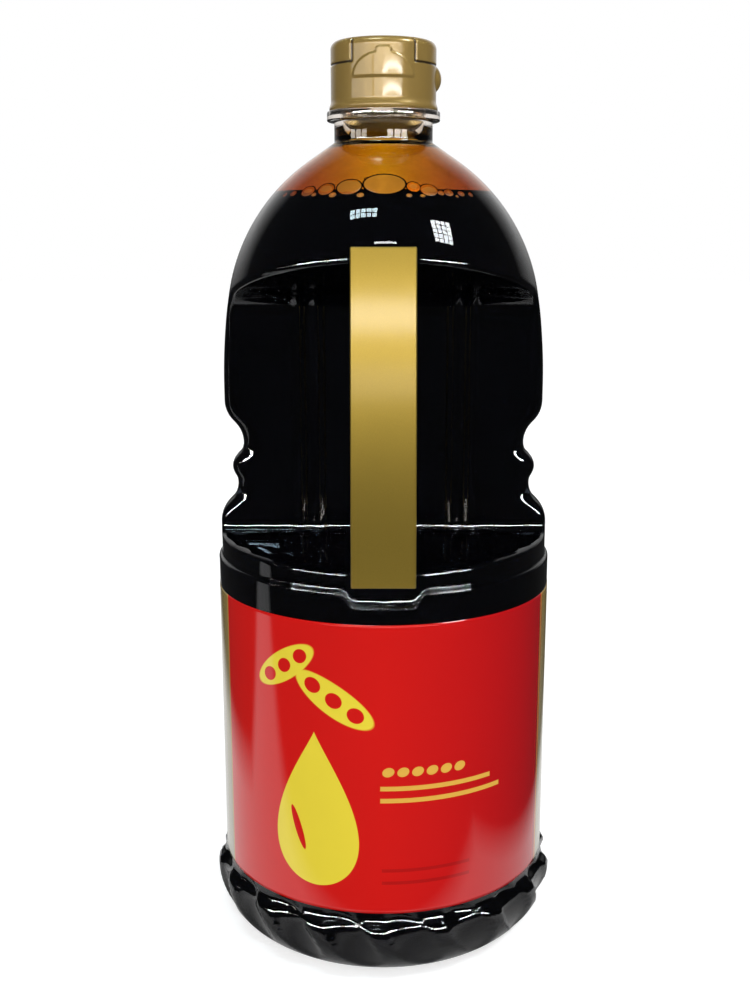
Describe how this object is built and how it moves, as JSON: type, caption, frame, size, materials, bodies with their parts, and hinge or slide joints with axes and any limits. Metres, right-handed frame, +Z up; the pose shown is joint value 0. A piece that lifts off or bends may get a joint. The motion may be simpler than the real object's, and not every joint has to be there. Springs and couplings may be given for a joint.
{
  "type": "soy sauce bottle",
  "caption": "Large clear plastic soy sauce bottle with a waisted body, grip recess, gold strap handle, gold flip cap and printed sleeve, filled with dark sauce.",
  "frame": {"origin": "centre of the foot, on the surface that the bottle stands on", "axes": "+Z up along the bottle's axis, handle and label front towards -Y"},
  "size_m": [0.1166, 0.118, 0.2918],
  "materials": {
    "clear_shell": "clear blown plastic, glossy",
    "dark_sauce": "nearly black liquid, amber where thin",
    "printed_label": "printed film, red front field and gold back",
    "gold_handle": "satin gold pearl plastic",
    "gold_cap": "satin gold plastic"
  },
  "bodies": {
    "root": {"bottle": "clear_shell", "sauce": "dark_sauce", "label": "printed_label", "handle": "gold_handle", "cap": "gold_cap"}
  },
  "joints": []
}
